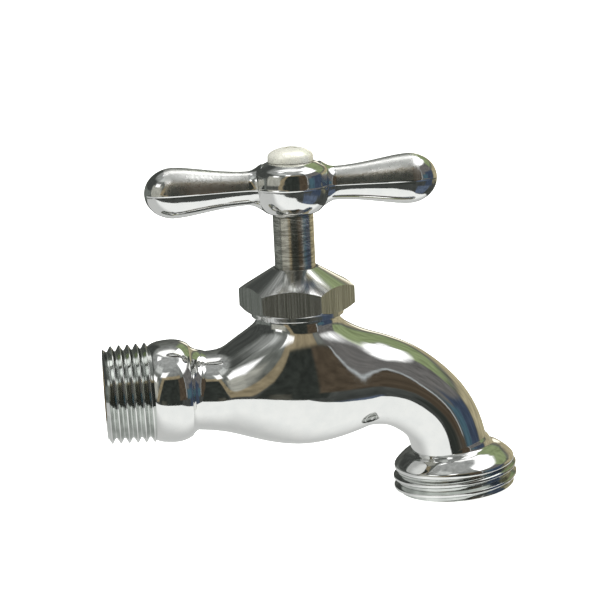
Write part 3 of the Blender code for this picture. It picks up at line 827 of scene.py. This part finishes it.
def studio_world():
    """The room that the plating mirrors; the camera itself sees plain white behind the tap."""
    world = bpy.data.worlds.new("studio")
    bpy.context.scene.world = world
    world.use_nodes = True
    nodes, links = world.node_tree.nodes, world.node_tree.links
    nodes.clear()

    def maths(operation, *values):
        made = nodes.new("ShaderNodeMath")
        made.operation = operation
        for socket, value in zip(made.inputs, values):
            if isinstance(value, (int, float)):
                socket.default_value = value
            else:
                links.new(value, socket)
        return made.outputs["Value"]

    coords = nodes.new("ShaderNodeTexCoord")
    split = nodes.new("ShaderNodeSeparateXYZ")
    links.new(coords.outputs["Generated"], split.inputs[0])
    bearing = maths("ARCTAN2", split.outputs["X"], split.outputs["Y"])
    height = maths("ARCSINE", split.outputs["Z"])
    ramp = nodes.new("ShaderNodeValToRGB")
    links.new(maths("ADD", maths("DIVIDE", height, math.pi), 0.5), ramp.inputs["Fac"])
    stops = ramp.color_ramp.elements
    while len(stops) < len(ROOM):
        stops.new(0.5)
    for stop, (level, tint) in zip(stops, ROOM):
        stop.position = level / 180 + 0.5
        stop.color = (*tint, 1)
    so_far = ramp.outputs["Color"]
    for middle, lift, half_w, half_h, soft, lean, tint in PATCHES:
        above = maths("SUBTRACT", height, math.radians(lift))
        rise = maths("ABSOLUTE", above)
        turned_from = maths("ADD", maths("SUBTRACT", bearing, math.radians(middle)),
                            maths("MULTIPLY", above, lean))
        away = maths("ABSOLUTE", maths("WRAP", turned_from, math.pi, -math.pi))
        across = maths("DIVIDE", maths("SUBTRACT", math.radians(half_w), away), math.radians(soft))
        up = maths("DIVIDE", maths("SUBTRACT", math.radians(half_h), rise), math.radians(soft))
        inside = maths("SMOOTH_MIN", across, up, 0.2)
        step = nodes.new("ShaderNodeMapRange")
        step.interpolation_type = "SMOOTHSTEP"
        step.inputs["From Min"].default_value = -0.5
        step.inputs["From Max"].default_value = 0.5
        links.new(inside, step.inputs["Value"])
        mix = nodes.new("ShaderNodeMix")
        mix.data_type = "RGBA"
        links.new(step.outputs["Result"], mix.inputs["Factor"])
        links.new(so_far, mix.inputs["A"])
        mix.inputs["B"].default_value = (*tint, 1)
        so_far = mix.outputs["Result"]
    clutter = noise(nodes, links, coords.outputs["Generated"], EVEN, 9.0, 3.0)
    uneven = remap(nodes, links, clutter, 0.72, 1.28)
    seen = nodes.new("ShaderNodeBackground")
    seen.inputs["Color"].default_value = (1, 1, 1, 1)
    lit = nodes.new("ShaderNodeBackground")
    links.new(so_far, lit.inputs["Color"])
    links.new(uneven, lit.inputs["Strength"])
    path = nodes.new("ShaderNodeLightPath")
    choose = nodes.new("ShaderNodeMixShader")
    links.new(path.outputs["Is Camera Ray"], choose.inputs["Fac"])
    links.new(lit.outputs[0], choose.inputs[1])
    links.new(seen.outputs[0], choose.inputs[2])
    out = nodes.new("ShaderNodeOutputWorld")
    links.new(choose.outputs[0], out.inputs["Surface"])


def white_table():
    """The white sheet that the plating mirrors: bright in front of the tap, and greyer under and behind it
    with a painted shadow of the tap.
    """
    edge = ((-0.25, -0.115), (-0.03, -0.125), (0.052, -0.112), (0.092, -0.055), (0.135, 0.02),
            (0.135, 0.13), (-0.25, 0.13))
    table, tree = card("table", [(x, y, CAD_LOW.z - TABLE_DROP) for x, y in edge])
    table.visible_camera = False
    table.visible_diffuse = False
    table.visible_shadow = False
    nodes, links = tree.nodes, tree.links
    coords = nodes.new("ShaderNodeTexCoord")
    out_of_shadow = nodes.new("ShaderNodeVectorMath")
    out_of_shadow.operation = "DOT_PRODUCT"
    out_of_shadow.inputs[1].default_value = (0.45, -0.9, 0)
    links.new(coords.outputs["Object"], out_of_shadow.inputs[0])
    # Painted shadow of the tap: the sheet's glow drops from 1.05 in front to 0.62 under and behind it.
    ramp = nodes.new("ShaderNodeMapRange")
    ramp.interpolation_type = "SMOOTHSTEP"
    for name, value in (("From Min", 0.002), ("From Max", 0.038), ("To Min", 0.62), ("To Max", 1.05)):
        ramp.inputs[name].default_value = value
    links.new(out_of_shadow.outputs["Value"], ramp.inputs["Value"])
    glow = nodes.new("ShaderNodeEmission")
    glow.inputs["Color"].default_value = (0.985, 1.0, 0.98, 1)
    links.new(ramp.outputs["Result"], glow.inputs["Strength"])
    links.new(glow.outputs[0], nodes["Material Output"].inputs["Surface"])


def studio_camera():
    """The view of the tap from the front, a little above it, with the inlet on the left."""
    data = bpy.data.cameras.new("camera")
    data.sensor_width = 36
    data.lens = 126.17
    data.shift_x = 0.0006
    data.shift_y = 0.0506
    data.clip_start = 0.01
    data.clip_end = 50
    camera = bpy.data.objects.new("camera", data)
    bpy.context.collection.objects.link(camera)
    camera.matrix_world = Matrix(((0.99104, 0.07221, -0.11239, -0.0082505),
                                  (-0.12540, 0.21284, -0.96901, -0.4372794),
                                  (-0.04605, 0.97442, 0.21998, 0.1104315),
                                  (0, 0, 0, 1)))
    bpy.context.scene.camera = camera


def overhead_lamp():
    """A soft lamp for the pieces that don't mirror; the plating mirrors the studio alone."""
    data = bpy.data.lights.new("overhead", "AREA")
    data.shape = "DISK"
    data.size = 0.5
    data.energy = 6.0
    lamp = bpy.data.objects.new("overhead", data)
    bpy.context.collection.objects.link(lamp)
    lamp.location = (STEM_X * MM, -0.15, 0.75)
    lamp.rotation_euler = (math.radians(-12), 0, 0)
    lamp.visible_glossy = False


def pale_floor():
    """A wide pale floor just under the tap, which the plating doesn't mirror."""
    colour = (0.93, 0.94, 0.93, 1)
    floor, tree = card("floor", [(x * FLOOR_REACH, y * FLOOR_REACH, CAD_LOW.z - FLOOR_GAP)
                                 for x, y in ((-1, -1), (1, -1), (1, 1), (-1, 1))])
    floor.visible_glossy = False
    shader = tree.nodes["Principled BSDF"]
    shader.inputs["Base Color"].default_value = colour
    shader.inputs["Roughness"].default_value = 0.9
    shader.inputs["Emission Color"].default_value = colour
    shader.inputs["Emission Strength"].default_value = 0.92


studio_world()
studio_camera()
overhead_lamp()
pale_floor()
white_table()
bpy.context.scene.view_settings.view_transform = "Standard"
